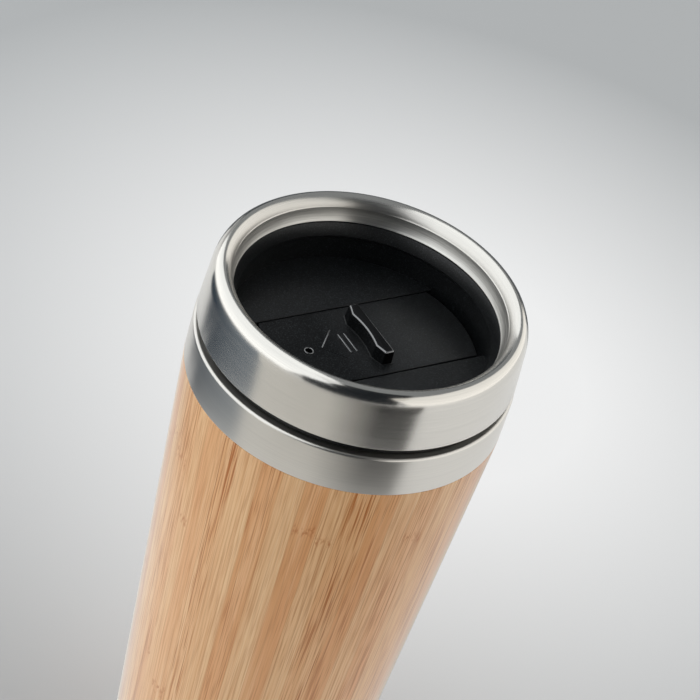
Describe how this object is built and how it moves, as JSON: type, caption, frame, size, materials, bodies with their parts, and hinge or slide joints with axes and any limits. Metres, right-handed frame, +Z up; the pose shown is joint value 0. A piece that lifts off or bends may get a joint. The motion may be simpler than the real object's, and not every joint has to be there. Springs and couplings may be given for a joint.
{
  "type": "double-walled tumbler",
  "caption": "Tapered double-walled steel tumbler in a bamboo sleeve, with a steel collar and a screw lid whose slider opens a drink hole.",
  "frame": {"origin": "centre of the foot pad's underside, on the table", "axes": "+Z up along the cup's axis, +X towards the drinking side"},
  "size_m": [0.085, 0.085, 0.1782],
  "materials": {
    "brushed_steel": "brushed",
    "liner_steel": "satin",
    "bamboo": "satin lacquer",
    "black_plastic": "fine grain",
    "silicone": "matte",
    "foot_rubber": "matte"
  },
  "bodies": {
    "cup": {"foot_pad": "foot_rubber", "base_cap": "brushed_steel", "bamboo_sleeve": "bamboo", "outer_shell": "liner_steel", "inner_liner": "liner_steel", "rim_collar": "brushed_steel"},
    "lid_carrier": {"lid_gasket": "silicone"},
    "lid": {"lid_base": "black_plastic", "lid_ring": "brushed_steel", "lid_tray": "black_plastic"},
    "slider": {"slider": "black_plastic", "slider_seal": "silicone"}
  },
  "joints": [
    {"name": "lid_lift", "type": "slide", "parent": "cup", "child": "lid_carrier", "axis": [0, 0, 1], "range_m": [0, 0.024]},
    {"name": "lid_turn", "type": "hinge", "parent": "lid_carrier", "child": "lid", "pos_m": [0, 0, 0.15], "axis": [0, 0, 1], "range_deg": [0, 720]},
    {"name": "slider_travel", "type": "slide", "parent": "lid", "child": "slider", "axis": [-1, 0, 0], "range_m": [0, 0.0082]}
  ],
  "couplings": [
    {"joint": "lid_lift", "follows": "lid_turn", "m_per_rad": 0.0019099}
  ]
}
